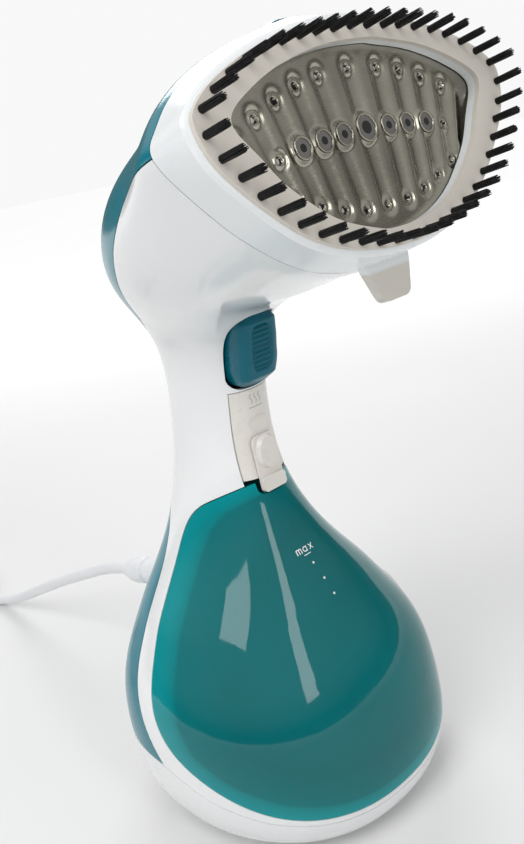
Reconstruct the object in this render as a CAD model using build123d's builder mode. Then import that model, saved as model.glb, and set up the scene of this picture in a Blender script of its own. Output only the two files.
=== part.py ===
"""Handheld garment steamer: a water tank in the base, a slim handle and a wide steam head with a clip-on brush.

The origin is the centre of the base on the table, +Z is up and the steam head faces -Y.
"""
import math
import os

from build123d import *

os.makedirs("parts", exist_ok=True)

# ---------------------------------------------------------------- driving dimensions (mm)
wall = 2.2            # housing wall
gap = 0.35            # gap between neighbouring mouldings
tilt = 13.7           # steam face leans back from the vertical
face_y, face_z = -79.5, 240.2      # centre of the steam plate's front face
seam_d = -11.0        # brush frame's rear edge, behind the plate's face
frame_front = 4.3     # brush frame's front face, in front of the plate's face
tuft_len, tuft_r = 8.9, 1.15
cord_r = 2.9
coil_r, coil_w, coil_h = 31.1, 11.6, 23.2
coil_x, coil_y = -52.0, 262.0
pad_h = 0.8           # rubber base pad stands this proud

# ---------------------------------------------------------------- body sections
# y and z of the section's front point, lean of the section (deg), length, half width, exponent,
# share of the length in front of the widest line, blend to the steam head's shield outline
stations = [
    (-50.5, 0.8, 0, 87.5, 38.5, 2.2, 0.50, 0),
    (-59.7, 7, 0, 107.7, 51.2, 2.2, 0.50, 0),
    (-62.3, 16, 0, 116.2, 58.2, 2.2, 0.50, 0),
    (-61.6, 30, 0, 118.3, 60.2, 2.2, 0.50, 0),
    (-57.7, 48, 0, 113.6, 59.1, 2.2, 0.50, 0),
    (-49.6, 66, 0, 101.4, 51.3, 2.2, 0.50, 0),
    (-38.8, 84, 0, 83.8, 39.3, 2.2, 0.50, 0),
    (-27.9, 102, 0, 65.5, 26.8, 2.2, 0.50, 0),
    (-19.3, 120, 0, 51.3, 19.1, 2.2, 0.50, 0),
    (-15.5, 138, 0, 44.0, 15.5, 2.2, 0.50, 0),
    (-15.6, 156, 0, 41.3, 14.6, 2.2, 0.50, 0),
    (-17.1, 174, 0, 42.7, 15.4, 2.2, 0.50, 0),
    (-21.5, 184, 12, 49.0, 24.8, 2.2, 0.50, 0),
    (-30.0, 189.5, 30, 54.6, 38.5, 2.2, 0.50, 0.03),
    (-40.0, 192.8, 47, 59.1, 47.1, 2.2, 0.51, 0.12),
    (-52.0, 196.2, 61, 62.2, 53.0, 2.2, 0.53, 0.35),
    (-64.0, 200.0, 71, 65.4, 58.0, 2.2, 0.56, 0.70),
]
shield = [1.0, .9981, .9904, .9681, .9352, .9174, .9139, .9236, .9606, 1.0, .9697, .9463, .9308, .9225, .9219, .9262, .9393, .9708, 1.0]
front_shield = [1.0, 1.0, .998, .9942, .9765, .9576, .9524, .9709, .9935, 1.0, .9893, .9692, .9516, .9444, .9502, .9651, .9807, .9933, 1.0]

t = math.radians(tilt)
nrm = (0, -math.cos(t), math.sin(t))
upv = (0, math.sin(t), math.cos(t))


def face_plane(d):
    """Plane parallel to the steam face, d in front of the plate; its local x is X and its local y runs up the face."""
    return Plane(origin=(0, face_y + nrm[1] * d, face_z + nrm[2] * d), x_dir=(1, 0, 0), z_dir=nrm)


def face_point(x, v, d):
    return (x, face_y + nrm[1] * d + upv[1] * v, face_z + nrm[2] * d + upv[2] * v)


def polar(table, deg):
    k = (max(-90.0, min(90.0, deg)) + 90) / 10
    i = min(17, int(k))
    return table[i] + (table[i + 1] - table[i]) * (k - i)


def section(length, w, e, k, blend, inset=0.0, table=shield, count=17):
    """Points of half a section, from the front point round +X to the back point; local y runs from front (0) to back (length)."""
    out = []
    for i in range(count):
        a = math.pi * i / (count - 1) - math.pi / 2
        c, s = max(0.0, math.cos(a)), math.sin(a)
        if i in (0, count - 1):
            c = 0.0
        r_e = (abs(c) ** e + abs(s) ** e) ** (-1 / e)
        r_s = polar(table, math.degrees(math.atan2(s, c)))
        r = r_e * (1 - blend) + r_s * blend
        x = (w - inset) * r * c
        y = length * k + r * s * ((length * (1 - k) - inset) if s > 0 else (length * k - inset))
        out.append((x, y))
    return out


def station_plane(y, z, lean):
    a = math.radians(lean)
    return Plane(origin=(0, y, z), x_dir=(1, 0, 0), z_dir=(0, -math.sin(a), math.cos(a)))


seam_b = face_point(0, -35.2, seam_d)
full = stations + [(seam_b[1], seam_b[2], 90 - tilt, 69.2, 61.9, 2.2, 0.588, 1.0)]

knots = [i / 16 for i in range(17)]


def half_curve(points):
    """Smooth half outline that crosses the middle plane square, with the same knots on every section."""
    return Edge.make_spline([Vector(*p) for p in points], tangents=[Vector(1, 0), Vector(-1, 0)], parameters=knots)


with BuildPart() as outer:
    for y, z, lean, length, w, e, k, blend in full:
        with BuildSketch(station_plane(y, z, lean)):
            with BuildLine():
                add(half_curve(section(length, w, e, k, blend)))
                Line((0, length), (0, 0))
            make_face()
    loft()

beyond = face_point(0, -35.2, seam_d + 6)
with BuildPart() as inner:
    for n, (y, z, lean, length, w, e, k, blend) in enumerate(full + [(beyond[1], beyond[2], 90 - tilt, 69.2, 61.9, 2.2, 0.588, 1.0)]):
        with BuildSketch(station_plane(y, 3.2 if n == 0 else z, lean)):
            with BuildLine():
                add(half_curve(section(length, w, e, k, blend, wall)))
                Polyline((0, length - wall), (-2, length - wall), (-2, wall), (0, wall))
            make_face()
    loft()

skin = outer.part - inner.part


# side-view lines of the joints between the mouldings (y, z)
tank_line = [(-70, 133.0), (-28, 130.5), (-14, 126.8), (-4, 122.6), (4, 118.2), (9.2, 112), (11.6, 102), (11.7, 91), (10.2, 79), (7.2, 66.5),
             (2.4, 54.8), (-5.5, 45), (-19.2, 36.2), (-33.2, 28.8), (-46, 22.6), (-60, 17.2), (-80, 13.0)]
base_line = [(-80, 10.8), (-60, 15.0), (-48.7, 18.9), (-41.6, 21.4), (-32.7, 24.6), (-22.5, 28.0), (-12.8, 31.4), (-1.3, 34.4), (12, 34.6), (40, 33.8), (75, 33.0)]
rear_line = [(-1.3, 35.3), (6.0, 44.5), (11.5, 53.3), (15.5, 60.5), (18.0, 68.5), (18.9, 77), (19.6, 86), (20.3, 95), (21.6, 104), (24.5, 111.5), (31, 117), (42, 119)]
cap_line = [(-90, 250.5), (-66.7, 242), (-58.4, 239.6), (-46.7, 234.9), (-38.6, 229.9), (-31.1, 224.2), (-23.6, 218.2), (-17.7, 212.6), (-9.5, 204.5), (0, 195.6),
            (10, 187.6), (20, 181.2), (32, 176.0), (50, 172)]


def shift_line(points, dist):
    """The line moved sideways by dist, to the left of its direction of travel."""
    out = []
    for i, (y, z) in enumerate(points):
        a = points[max(0, i - 1)]
        b = points[min(len(points) - 1, i + 1)]
        dy, dz = b[0] - a[0], b[1] - a[1]
        m = math.hypot(dy, dz)
        out.append((y - dz / m * dist, z + dy / m * dist))
    return out


def band(line_a, line_b, x0=-8.0, x1=90.0):
    """Solid between two open side-view lines that run the same way."""
    with BuildPart(mode=Mode.PRIVATE) as region:
        with BuildSketch(Plane(origin=(x0, 0, 0), x_dir=(0, 1, 0), z_dir=(1, 0, 0))):
            with BuildLine():
                a = Spline(*line_a)
                b = Spline(*line_b)
                Line(a @ 0, b @ 0)
                Line(a @ 1, b @ 1)
            make_face()
        extrude(amount=x1 - x0)
    return region.part


def far_region(line, corners, x0=-8.0, x1=90.0):
    """Solid bounded by one smooth side-view line and closed round the given outer corners."""
    with BuildPart(mode=Mode.PRIVATE) as region:
        with BuildSketch(Plane(origin=(x0, 0, 0), x_dir=(0, 1, 0), z_dir=(1, 0, 0))):
            with BuildLine():
                s = Spline(*line)
                Polyline(s @ 1, *corners, s @ 0)
            make_face()
        extrude(amount=x1 - x0)
    return region.part


tank_zone = far_region(shift_line(tank_line, -gap), [(-110, 10), (-110, 135)])
tank_hole = far_region(tank_line, [(-110, 10), (-110, 135)])
base_zone = far_region(shift_line(base_line, -gap / 2), [(75, -5), (-80, -5)])
base_hole = far_region(shift_line(base_line, gap / 2), [(75, -5), (-80, -5)])
rear_zone = far_region(shift_line(rear_line, -gap), [(75, 119), (75, 35.3)])
rear_hole = far_region(rear_line, [(75, 119), (75, 30), (-1.3, 30)])
cap_zone = far_region(shift_line(cap_line, gap), [(60, 290), (-90, 290)])
cap_hole = far_region(cap_line, [(60, 290), (-90, 290)])

# ---------------------------------------------------------------- cord exit
exit_y, exit_z, exit_slope = 50.0, 67.87, -12.9
ea = math.radians(exit_slope)
exit_dir = (0, math.cos(ea), math.sin(ea))


def on_exit(s):
    return (0, exit_y + exit_dir[1] * s, exit_z + exit_dir[2] * s)


def exit_plane(s):
    return Plane(origin=on_exit(s), x_dir=(1, 0, 0), z_dir=exit_dir)


with BuildPart() as exit_bore:
    with BuildSketch(exit_plane(-30)):
        Circle(7.4)
    extrude(amount=60)

# ---------------------------------------------------------------- openings for trigger, strip and slide
trig_w, trig_z0, trig_z1 = 8.6, 161.6, 187.2
with BuildPart() as trig_hole:
    with BuildSketch(Plane.XZ.offset(40)):
        with Locations((0, (trig_z0 + trig_z1) / 2)):
            RectangleRounded(2 * trig_w + 1.0, trig_z1 - trig_z0 + 1.0, 5.0)
    extrude(amount=-38)

strip_w, strip_z0, strip_z1 = 9.0, 128.4, 160.6
with BuildPart() as strip_hole:
    with BuildSketch(Plane.XZ.offset(40)):
        with BuildLine():
            Polyline((-strip_w - 1.2, strip_z0 - 4), (strip_w + 1.2, strip_z0 - 4), (strip_w, strip_z1), (-strip_w, strip_z1), close=True)
        make_face()
    extrude(amount=-38)

shell_stock = skin - tank_hole - base_hole - rear_hole - cap_hole - trig_hole.part - strip_hole.part - exit_bore.part

def whole(half):
    """Both halves of a moulding that crosses the middle plane."""
    return half + mirror(half, about=Plane.YZ)


# screw bosses: y, z, depth of the head's seat from the middle plane
bosses = [(16.0, 84.0, 33.0), (19.0, 121.0, 11.5), (-18.0, 196.0, 20.0)]
boss_stock = []
for by, bz, seat in bosses:
    with BuildPart(mode=Mode.PRIVATE) as boss:
        with BuildSketch(Plane(origin=(0, by, bz), x_dir=(0, 1, 0), z_dir=(1, 0, 0))):
            Circle(2.9)
        extrude(amount=80)
    boss_stock.append(boss.part & inner.part)

with BuildPart() as right_shell:
    add(shell_stock)
    for piece in boss_stock:
        add(piece)
    for by, bz, seat in bosses:
        with BuildSketch(Plane(origin=(-2, by, bz), x_dir=(0, 1, 0), z_dir=(1, 0, 0))):
            Circle(1.6)
        extrude(amount=80, mode=Mode.SUBTRACT)
        with BuildSketch(Plane(origin=(seat, by, bz), x_dir=(0, 1, 0), z_dir=(1, 0, 0))):
            Circle(2.8)
        extrude(amount=60, mode=Mode.SUBTRACT)
right_shell.part.label = "right_shell"
export_step(right_shell.part, "parts/right_shell.step")

with BuildPart() as left_shell:
    add(mirror(shell_stock, about=Plane.YZ))
    for piece in boss_stock:
        add(mirror(piece, about=Plane.YZ))
    for by, bz, seat in bosses:
        with BuildSketch(Plane(origin=(1, by, bz), x_dir=(0, 1, 0), z_dir=(-1, 0, 0))):
            Circle(1.6)
        extrude(amount=10.5, mode=Mode.SUBTRACT)
left_shell.part.label = "left_shell"
export_step(left_shell.part, "parts/left_shell.step")

with BuildPart() as shell_screws:
    for by, bz, seat in bosses:
        with BuildSketch(Plane(origin=(-9, by, bz), x_dir=(0, 1, 0), z_dir=(1, 0, 0))):
            Circle(1.5)
        extrude(amount=9 + seat)
        with BuildSketch(Plane(origin=(seat, by, bz), x_dir=(0, 1, 0), z_dir=(1, 0, 0))):
            Circle(2.6)
        extrude(amount=1.8)
        with BuildSketch(Plane(origin=(seat + 0.8, by, bz), x_dir=(0, 1, 0), z_dir=(1, 0, 0))):
            Rectangle(3.2, 0.7)
            Rectangle(0.7, 3.2)
        extrude(amount=1.2, mode=Mode.SUBTRACT)
shell_screws.part.label = "shell_screws"
export_step(shell_screws.part, "parts/shell_screws.step")

with BuildPart() as head_rear_cover:
    add(whole(skin & cap_zone))
head_rear_cover.part.label = "head_rear_cover"
export_step(head_rear_cover.part, "parts/head_rear_cover.step")

with BuildPart() as lower_rear_cover:
    add(whole((skin & rear_zone) - exit_bore.part))
lower_rear_cover.part.label = "lower_rear_cover"
export_step(lower_rear_cover.part, "parts/lower_rear_cover.step")

with BuildPart() as base_shoe:
    add(whole(skin & base_zone))
    with BuildSketch(Plane.XY):
        Ellipse(33.3, 38.3)
    extrude(amount=2.0, mode=Mode.SUBTRACT)
base_shoe.part.label = "base_shoe"
export_step(base_shoe.part, "parts/base_shoe.step")

with BuildPart() as base_pad:
    with BuildSketch(Plane.XY):
        Ellipse(33.0, 38.0)
    extrude(amount=2.0)
base_pad.part.label = "base_pad"
export_step(base_pad.part, "parts/base_pad.step")

# ---------------------------------------------------------------- water tank
notch_w = 6.4
with BuildPart() as tank_notch:
    with BuildSketch(Plane.XZ.offset(60)):
        with Locations((0, 131.6)):
            RectangleRounded(2 * notch_w + 0.8, 18.4, 2.5)
    extrude(amount=-90)

outlet_z = 100.0
fill_at, fill_dir = (52.4, -18.0, 58.0), (0.88, -0.262, 0.395)
fill_plane = Plane(origin=fill_at, x_dir=(-0.395, 0, 0.88), z_dir=fill_dir)

tank_core = inner.part & far_region(shift_line(tank_line, -gap - 2.2), [(-110, 10), (-110, 135)])
with BuildPart() as water_tank:
    add(whole((outer.part & tank_zone) - tank_core))
    add(tank_notch.part, mode=Mode.SUBTRACT)
    with BuildSketch(Plane.XZ.offset(-5)):
        with Locations((0, outlet_z)):
            Circle(3.0)
    extrude(amount=-12, mode=Mode.SUBTRACT)
    with BuildSketch(fill_plane.offset(-6)):
        Circle(6.05)
    extrude(amount=12, mode=Mode.SUBTRACT)
print("water tank volume", round(water_tank.part.volume), "solids", len(water_tank.part.solids()))
water_tank.part.label = "water_tank"
export_step(water_tank.part, "parts/water_tank.step")

with BuildPart() as tank_bay_wall:
    add(whole(inner.part & band(shift_line(tank_line, 0.4), shift_line(tank_line, 1.8), x0=0.0)))
    add(strip_hole.part, mode=Mode.SUBTRACT)
    with BuildSketch(Plane.XZ.offset(-5)):
        with Locations((0, outlet_z)):
            Circle(4.0)
    extrude(amount=-14, mode=Mode.SUBTRACT)
tank_bay_wall.part.label = "tank_bay_wall"
export_step(tank_bay_wall.part, "parts/tank_bay_wall.step")

with BuildPart() as fill_plug:
    with BuildSketch(fill_plane.offset(-4.5)):
        Circle(5.8)
    extrude(amount=6)
    with BuildSketch(fill_plane.offset(1.5)):
        Circle(8.0)
    extrude(amount=1.6)
    with BuildSketch(fill_plane.offset(3.1)):
        RectangleRounded(9, 2.4, 1.1)
    extrude(amount=2.6)
fill_plug.part.label = "fill_plug"
export_step(fill_plug.part, "parts/fill_plug.step")

with BuildPart() as outlet_fitting:
    with BuildSketch(Plane.XZ.offset(-4)):
        with Locations((0, outlet_z)):
            Circle(3.0)
    extrude(amount=-16)
    with BuildSketch(Plane.XZ.offset(-4)):
        with Locations((0, outlet_z)):
            Circle(5.0)
    extrude(amount=-4)
    with BuildSketch(Plane.XZ.offset(-4)):
        with Locations((0, outlet_z)):
            Circle(1.8)
    extrude(amount=-17, mode=Mode.SUBTRACT)
outlet_fitting.part.label = "outlet_fitting"
export_step(outlet_fitting.part, "parts/outlet_fitting.step")

with BuildPart() as outlet_valve:
    with BuildSketch(Plane.XZ.offset(-9)):
        with Locations((0, outlet_z)):
            Circle(1.6)
    extrude(amount=-10)
outlet_valve.part.label = "outlet_valve"
export_step(outlet_valve.part, "parts/outlet_valve.step")


def tube_along(points, radii, radius):
    """Round tube along straight runs joined by tangent arcs."""
    with BuildPart(mode=Mode.PRIVATE) as tube:
        with BuildLine(mode=Mode.PRIVATE) as path:
            FilletPolyline(*points, radius=radii)
        with BuildSketch(Plane(origin=path.line @ 0, z_dir=path.line % 0)):
            Circle(radius)
        sweep(path=path.line)
    return tube.part


hose_points = [(0, 3.9, outlet_z), (0, -12, outlet_z), (-5, -24, 79), (22.5, -43.3, 43.3)]
with BuildPart() as pickup_hose:
    add(tube_along(hose_points, [7, 11], 2.25))
pickup_hose.part.label = "pickup_hose"
export_step(pickup_hose.part, "parts/pickup_hose.step")

weight_dir = Vector(27.5, -19.3, -35.7).normalized()
with BuildPart() as pickup_weight:
    with BuildSketch(Plane(origin=hose_points[-1], z_dir=weight_dir)):
        Circle(3.6)
    extrude(amount=8.5)
    fillet(pickup_weight.edges().filter_by(GeomType.CIRCLE), 1.4)
pickup_weight.part.label = "pickup_weight"
export_step(pickup_weight.part, "parts/pickup_weight.step")

# ---------------------------------------------------------------- brush frame
seam_shape = (61.9, -35.2, 34.0, 5.5, shield)
front_shape = (60.9, -33.5, 28.6, 7.3, front_shield)
lip_d = 1.5            # the frame's front edge is eased from here forward
lip_k = (lip_d - seam_d - gap) / (2.8 - seam_d - gap)
lip_shape = tuple(a + (b - a) * lip_k for a, b in zip(seam_shape[:4], front_shape[:4])) + ([a + (b - a) * lip_k for a, b in zip(shield, front_shield)],)


def frame_edges(shape, inset):
    """Right and left halves of a head outline in a plane parallel to the steam face."""
    w, vb, vt, vc, table = shape
    pts = []
    for i in range(17):
        a = math.pi * i / 16 - math.pi / 2
        c, sn = (0.0 if i in (0, 16) else math.cos(a)), math.sin(a)
        r = polar(table, math.degrees(a))
        pts.append((r * c * (w - inset), vc + r * sn * ((vt - vc - inset) if sn > 0 else (vc - vb - inset))))
    right = Edge.make_spline([Vector(*p) for p in pts], tangents=[Vector(1, 0), Vector(-1, 0)], parameters=knots)
    left = Edge.make_spline([Vector(-x, v) for x, v in reversed(pts)], tangents=[Vector(-1, 0), Vector(1, 0)], parameters=knots)
    return right, left


window = [(0, -27.2), (11.6, -26), (23.4, -21.7), (33.2, -14.8), (39.6, -8.5), (44.5, -1.3), (48.7, 6.4), (42.2, 11.9), (30.4, 16.9), (20.5, 19.5), (10.7, 21.1), (0, 21.6)]


def window_edges(grow=0.0):
    pts = [(x * (1 + grow / math.hypot(x, v)) if x else 0, v * (1 + grow / math.hypot(x, v))) for x, v in window]
    right = Edge.make_spline([Vector(*p) for p in pts], tangents=[Vector(1, 0), Vector(-1, 0)])
    left = Edge.make_spline([Vector(-x, v) for x, v in reversed(pts)], tangents=[Vector(-1, 0), Vector(1, 0)])
    return right, left


with BuildPart() as brush_frame:
    for shape, d in ((seam_shape, seam_d + gap), (lip_shape, lip_d)):
        with BuildSketch(face_plane(d)):
            with BuildLine():
                add(frame_edges(shape, 0))
            make_face()
    loft()
    for shape, d, inset in ((lip_shape, lip_d, 0), (front_shape, 2.4, 0.55)):
        with BuildSketch(face_plane(d)):
            with BuildLine():
                add(frame_edges(shape, inset))
            make_face()
    loft()
    for d, inset in ((2.4, 0.55), (2.8, 1.3)):
        with BuildSketch(face_plane(d)):
            with BuildLine():
                add(frame_edges(front_shape, inset))
            make_face()
    loft()
    with BuildSketch(face_plane(-9.2)):
        with BuildLine():
            Polyline((-9.6, -33.4), (-9.2, -36), (-5.8, -45.5), (5.8, -45.5), (9.2, -36), (9.6, -33.4), close=True)
        make_face()
        fillet([q for q in vertices() if q.Y < -45], 3.2)
    extrude(amount=2.6)
    for shape, d in ((seam_shape, seam_d - 1), (front_shape, 0.3)):
        with BuildSketch(face_plane(d)):
            with BuildLine():
                add(frame_edges(shape, 2.2))
            make_face()
    loft(mode=Mode.SUBTRACT)
    with BuildSketch(face_plane(-1)):
        with BuildLine():
            add(window_edges())
        make_face()
    extrude(amount=6, mode=Mode.SUBTRACT)
brush_frame.part.label = "brush_frame"
export_step(brush_frame.part, "parts/brush_frame.step")

with BuildPart() as bristle_carrier:
    with BuildSketch(face_plane(2.8)):
        with BuildLine():
            add(frame_edges(front_shape, 1.5))
        make_face()
    extrude(amount=frame_front - 2.8)
    with BuildSketch(face_plane(2)):
        with BuildLine():
            add(window_edges())
        make_face()
    extrude(amount=4, mode=Mode.SUBTRACT)
bristle_carrier.part.label = "bristle_carrier"
export_step(bristle_carrier.part, "parts/bristle_carrier.step")

half_tufts = [(6.5, 24.6), (13.1, 24.2), (19.2, 23.7), (25.6, 22.8), (32.5, 21.6), (38.5, 19.8), (44.9, 17.2), (50.9, 14.0), (56.0, 10.2), (57.2, 4.5), (54.9, -1.2),
              (51.1, -6.1), (47.3, -11.1), (42.9, -15.6), (37.9, -19.7), (32.3, -23.3), (26.1, -26.0), (19.6, -27.9), (13.4, -29.4), (6.7, -30.2)]
tufts = [(0, 24.8), (0, -30.5)] + half_tufts + [(-x, v) for x, v in half_tufts]
with BuildPart() as bristle_tufts:
    with BuildSketch(face_plane(frame_front)):
        with Locations(*tufts):
            Circle(tuft_r)
    extrude(amount=tuft_len)
bristle_tufts.part.label = "bristle_tufts"
export_step(bristle_tufts.part, "parts/bristle_tufts.step")

# ---------------------------------------------------------------- steam head
top_row = [(0, 16.0), (11.6, 15.1), (20.5, 13.4), (29.0, 10.7), (37.2, 7.3)]
mid_row = [(9.0, -0.6), (16.9, -1.1), (25.0, -1.8)]
low_row = [(0, -20.6), (8.5, -20.5), (16.6, -19.0), (24.2, -16.7), (32.4, -13.5)]
steam_holes = sorted({(sx * x, v) for sx in (-1, 1) for x, v in top_row + low_row + [(33.3, -3.3)]})
nozzle_holes = [(sx * x, v) for sx in (-1, 1) for x, v in mid_row]

with BuildPart() as head_collar:
    for shape, d in ((seam_shape, seam_d - 0.2), (front_shape, -0.4)):
        with BuildSketch(face_plane(d)):
            with BuildLine():
                add(frame_edges(shape, 2.75))
            make_face()
    loft()
    with BuildSketch(face_plane(-15.5)):
        with BuildLine():
            add(frame_edges(seam_shape, 6.0))
        make_face()
    extrude(amount=5)
    with BuildSketch(face_plane(-17)):
        with BuildLine():
            add(frame_edges(seam_shape, 8.2))
        make_face()
    extrude(amount=14, mode=Mode.SUBTRACT)
    with BuildSketch(face_plane(-3.2)):
        with BuildLine():
            add(frame_edges(front_shape, 5.2))
        make_face()
    extrude(amount=5, mode=Mode.SUBTRACT)
head_collar.part.label = "head_collar"
export_step(head_collar.part, "parts/head_collar.step")

with BuildPart() as steam_plate:
    with BuildSketch(face_plane(-1.6)):
        with BuildLine():
            add(frame_edges(front_shape, 5.4))
        make_face()
    extrude(amount=1.6)
    for x, v in top_row[1:]:
        for sx in (-1, 1):
            low = low_row[top_row.index((x, v))]
            with BuildSketch(face_plane(-0.7)):
                with BuildLine():
                    Polyline((sx * (x - 2.4), v), (sx * (x + 2.4), v), (sx * (low[0] + 1.9), low[1]), (sx * (low[0] - 1.9), low[1]), close=True)
                make_face()
            extrude(amount=1.5, mode=Mode.SUBTRACT)
    with BuildSketch(face_plane(-0.7)):
        with BuildLine():
            Polyline((-2.6, 16), (2.6, 16), (2.0, -20.6), (-2.0, -20.6), close=True)
        make_face()
    extrude(amount=1.5, mode=Mode.SUBTRACT)
    with BuildSketch(face_plane(-2)):
        with Locations(*steam_holes):
            Circle(1.6)
        with Locations(*nozzle_holes):
            Circle(2.5)
        with Locations((0, 0)):
            Circle(3.2)
    extrude(amount=4, mode=Mode.SUBTRACT)
steam_plate.part.label = "steam_plate"
export_step(steam_plate.part, "parts/steam_plate.step")

with BuildPart() as steam_nozzles:
    with BuildSketch(face_plane(-3.0)):
        with Locations(*nozzle_holes):
            Circle(2.4)
        with Locations((0, 0)):
            Circle(3.1)
        with Locations(*nozzle_holes):
            Circle(0.9, mode=Mode.SUBTRACT)
        with Locations((0, 0)):
            Circle(1.4, mode=Mode.SUBTRACT)
    extrude(amount=3.3)
steam_nozzles.part.label = "steam_nozzles"
export_step(steam_nozzles.part, "parts/steam_nozzles.step")

chamber_shape = [(-38, 17), (38, 17), (40, 4), (24, -20), (-24, -20), (-40, 4)]
with BuildPart() as steam_chamber:
    with BuildSketch(face_plane(-18)):
        with BuildLine():
            Polyline(*chamber_shape, close=True)
        make_face()
    extrude(amount=14.9)
    fillet(steam_chamber.edges().filter_by(lambda q: abs(q.length - 14.9) < 0.01), 4)
    with BuildSketch(face_plane(-14)):
        with BuildLine():
            Polyline(*[(x * 0.88, v * 0.84) for x, v in chamber_shape], close=True)
        make_face()
    extrude(amount=12, mode=Mode.SUBTRACT)
steam_chamber.part.label = "steam_chamber"
export_step(steam_chamber.part, "parts/steam_chamber.step")

with BuildPart() as chamber_gasket:
    with BuildSketch(face_plane(-3.1)):
        with BuildLine():
            Polyline(*[(x * 0.98, v * 0.97) for x, v in chamber_shape], close=True)
        make_face()
        with BuildLine():
            Polyline(*[(x * 0.9, v * 0.87) for x, v in chamber_shape], close=True)
        make_face(mode=Mode.SUBTRACT)
    extrude(amount=1.5)
chamber_gasket.part.label = "chamber_gasket"
export_step(chamber_gasket.part, "parts/chamber_gasket.step")

with BuildPart() as chamber_lid:
    with BuildSketch(face_plane(-21.2)):
        with BuildLine():
            Polyline(*[(x * 0.97, v * 0.96) for x, v in chamber_shape], close=True)
        make_face()
    extrude(amount=3.2)
chamber_lid.part.label = "chamber_lid"
export_step(chamber_lid.part, "parts/chamber_lid.step")

with BuildPart() as heating_element:
    with BuildLine() as heater_path:
        l1 = Line(face_point(-19, 11, -24.6), face_point(14, 11, -24.6))
        a1 = ThreePointArc(l1 @ 1, face_point(25, 0, -24.6), face_point(14, -11, -24.6))
        Line(a1 @ 1, face_point(-19, -11, -24.6))
    with BuildSketch(Plane(origin=heater_path.line @ 0, z_dir=heater_path.line % 0)):
        Circle(3.2)
    sweep(path=heater_path.line)
heating_element.part.label = "heating_element"
export_step(heating_element.part, "parts/heating_element.step")

with BuildPart() as thermostat:
    with BuildSketch(face_plane(-26.2)):
        with Locations((5, 0)):
            Circle(6.8)
    extrude(amount=5)
    with BuildSketch(face_plane(-30)):
        with Locations((1.5, 0), (8.5, 0)):
            Rectangle(0.8, 4.5)
    extrude(amount=3.8)
thermostat.part.label = "thermostat"
export_step(thermostat.part, "parts/thermostat.step")

with BuildPart() as thermal_fuse:
    with BuildSketch(Plane(origin=face_point(-9, -6, -23.3), x_dir=(1, 0, 0), z_dir=upv)):
        Circle(2.0)
    extrude(amount=12)
thermal_fuse.part.label = "thermal_fuse"
export_step(thermal_fuse.part, "parts/thermal_fuse.step")


# ---------------------------------------------------------------- trigger and its switch
pivot_y, pivot_z = -12.0, 183.6
trig_side = [(-9, 162.6), (-19.2, 162.4), (-22.2, 165.5), (-23.7, 172), (-24.9, 180), (-25.3, 185), (-23.6, 187.0), (-9, 187.0)]
with BuildPart() as trigger:
    with BuildSketch(Plane(origin=(-trig_w, 0, 0), x_dir=(0, 1, 0), z_dir=(1, 0, 0))):
        with BuildLine():
            Polyline(*trig_side, close=True)
        make_face()
    extrude(amount=2 * trig_w)
    with BuildSketch(Plane.XZ.offset(40)):
        with Locations((0, 174.7)):
            RectangleRounded(2 * trig_w, 24.6, 4.4)
    extrude(amount=-38, mode=Mode.INTERSECT)
    with BuildSketch(Plane(origin=(-6.0, 0, 0), x_dir=(0, 1, 0), z_dir=(1, 0, 0))):
        with Locations((-12, 174.5)):
            Rectangle(9, 20)
    extrude(amount=12, mode=Mode.SUBTRACT)
    with BuildSketch(Plane(origin=(-3.5, 0, 0), x_dir=(0, 1, 0), z_dir=(1, 0, 0))):
        with BuildLine():
            Polyline((-17.5, 171.5), (-1.7, 171.5), (-1.7, 176.5), (-17.5, 176.5), close=True)
        make_face()
    extrude(amount=7)
    for i in range(9):
        with BuildSketch(Plane(origin=(-4.2, 0, 0), x_dir=(0, 1, 0), z_dir=(1, 0, 0))):
            with Locations((-23.2 - 0.13 * i, 167.2 + 1.9 * i)):
                Circle(0.9)
        extrude(amount=8.4)
    with BuildSketch(Plane(origin=(-10, 0, 0), x_dir=(0, 1, 0), z_dir=(1, 0, 0))):
        with Locations((pivot_y, pivot_z)):
            Circle(1.28)
    extrude(amount=20, mode=Mode.SUBTRACT)
trigger.part.label = "trigger"
export_step(trigger.part, "parts/trigger.step")

with BuildPart() as trigger_pin:
    with BuildSketch(Plane(origin=(-10.5, 0, 0), x_dir=(0, 1, 0), z_dir=(1, 0, 0))):
        with Locations((pivot_y, pivot_z)):
            Circle(1.22)
    extrude(amount=21)
trigger_pin.part.label = "trigger_pin"
export_step(trigger_pin.part, "parts/trigger_pin.step")

with BuildPart() as microswitch:
    with BuildSketch(Plane.XY.offset(167)):
        with Locations((0, 5)):
            Rectangle(9, 8)
    extrude(amount=13)
    with BuildSketch(Plane.XZ.offset(-1)):
        with Locations((0, 174)):
            Circle(1.2)
    extrude(amount=-5, mode=Mode.SUBTRACT)
    with BuildSketch(Plane.XZ.offset(-9)):
        with Locations((0, 169.5), (0, 177.5)):
            Rectangle(3.2, 0.6)
    extrude(amount=-3.5)
microswitch.part.label = "microswitch"
export_step(microswitch.part, "parts/microswitch.step")

with BuildPart() as switch_button:
    with BuildSketch(Plane.XZ.offset(0.9)):
        with Locations((0, 174)):
            Circle(1.12)
    extrude(amount=-4.6)
switch_button.part.label = "switch_button"
export_step(switch_button.part, "parts/switch_button.step")

with BuildPart() as trigger_spring:
    with BuildLine() as leaf_path:
        FilletPolyline((0, -2.6, 166.0), (0, -9.2, 166.0), (0, -14.0, 168.9), radius=1.5)
    with BuildSketch(Plane(origin=leaf_path.line @ 0, x_dir=(1, 0, 0), z_dir=leaf_path.line % 0)):
        Rectangle(3.0, 0.4)
    sweep(path=leaf_path.line)
trigger_spring.part.label = "trigger_spring"
export_step(trigger_spring.part, "parts/trigger_spring.step")

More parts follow.
